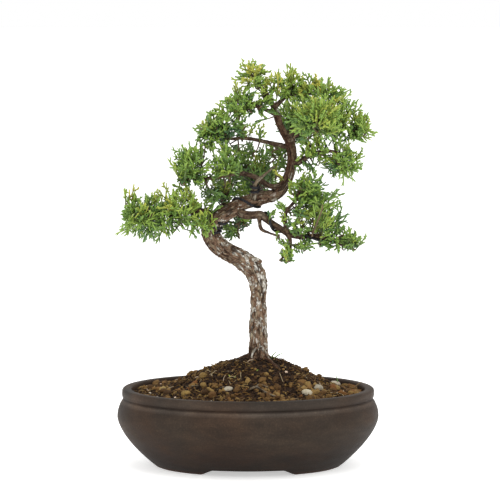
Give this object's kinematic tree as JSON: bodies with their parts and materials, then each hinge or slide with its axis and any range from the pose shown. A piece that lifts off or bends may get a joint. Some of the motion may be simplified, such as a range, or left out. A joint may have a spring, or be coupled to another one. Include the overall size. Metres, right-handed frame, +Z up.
{
  "type": "juniper bonsai in an oval clay pot",
  "caption": "S-curved juniper bonsai with wired branches and separate foliage pads on a soil mound, planted in an unglazed oval clay pot that stands on low feet.",
  "frame": {"origin": "on the table, under the middle of the pot", "axes": "+Z up to the apex of the tree, +X to the right of someone facing the tree, front of the tree at -Y"},
  "size_m": [0.254, 0.203, 0.392],
  "materials": {
    "fired_clay": "matte",
    "potting_soil": "matte",
    "pale_stone": "matte",
    "tan_stone": "matte",
    "brown_stone": "matte",
    "trunk_bark": "matte",
    "branch_bark": "matte",
    "weathered_wood": "matte",
    "juniper_foliage": "satin",
    "anodised_wire": "satin",
    "tie_wire": "satin",
    "screen_plastic": "matte"
  },
  "bodies": {
    "root": {"branch_arm": "branch_bark", "branch_back": "branch_bark", "branch_crown_back": "branch_bark", "branch_crown_front": "branch_bark", "branch_crown_left": "branch_bark", "branch_crown_right": "branch_bark", "branch_lower_left": "branch_bark", "branch_lower_right": "branch_bark", "branch_mid_left": "branch_bark", "branch_mid_right": "branch_bark", "branch_upper_left": "branch_bark", "branch_upper_right": "branch_bark", "broken_twig": "branch_bark", "drainage_screen_left": "screen_plastic", "drainage_screen_right": "screen_plastic", "foliage_apex": "juniper_foliage", "foliage_arm": "juniper_foliage", "foliage_back": "juniper_foliage", "foliage_bend": "juniper_foliage", "foliage_centre": "juniper_foliage", "foliage_crown_back": "juniper_foliage", "foliage_crown_front": "juniper_foliage", "foliage_crown_left": "juniper_foliage", "foliage_crown_right": "juniper_foliage", "foliage_hanging": "juniper_foliage", "foliage_lower_left": "juniper_foliage", "foliage_lower_right": "juniper_foliage", "foliage_mid_left": "juniper_foliage", "foliage_mid_right": "juniper_foliage", "foliage_rising_shoot": "juniper_foliage", "foliage_under_arm": "juniper_foliage", "foliage_upper_left": "juniper_foliage", "foliage_upper_right": "juniper_foliage", "hanging_twig": "branch_bark", "pebble_01": "pale_stone", "pebble_02": "pale_stone", "pebble_03": "pale_stone", "pebble_04": "tan_stone", "pebble_05": "tan_stone", "pebble_06": "tan_stone", "pebble_07": "brown_stone", "pebble_08": "brown_stone", "pebble_09": "tan_stone", "pebble_10": "brown_stone", "pebble_11": "tan_stone", "pebble_12": "pale_stone", "pot": "fired_clay", "pruned_stub": "weathered_wood", "rising_shoot": "branch_bark", "screen_wire_left": "tie_wire", "screen_wire_right": "tie_wire", "soil": "potting_soil", "trunk": "trunk_bark", "twig_under_arm": "branch_bark", "wire_lower_left": "anodised_wire", "wire_lower_right": "anodised_wire", "wire_stub": "anodised_wire", "wire_trunk_arm": "anodised_wire", "wire_trunk_bend": "anodised_wire"}
  },
  "joints": []
}
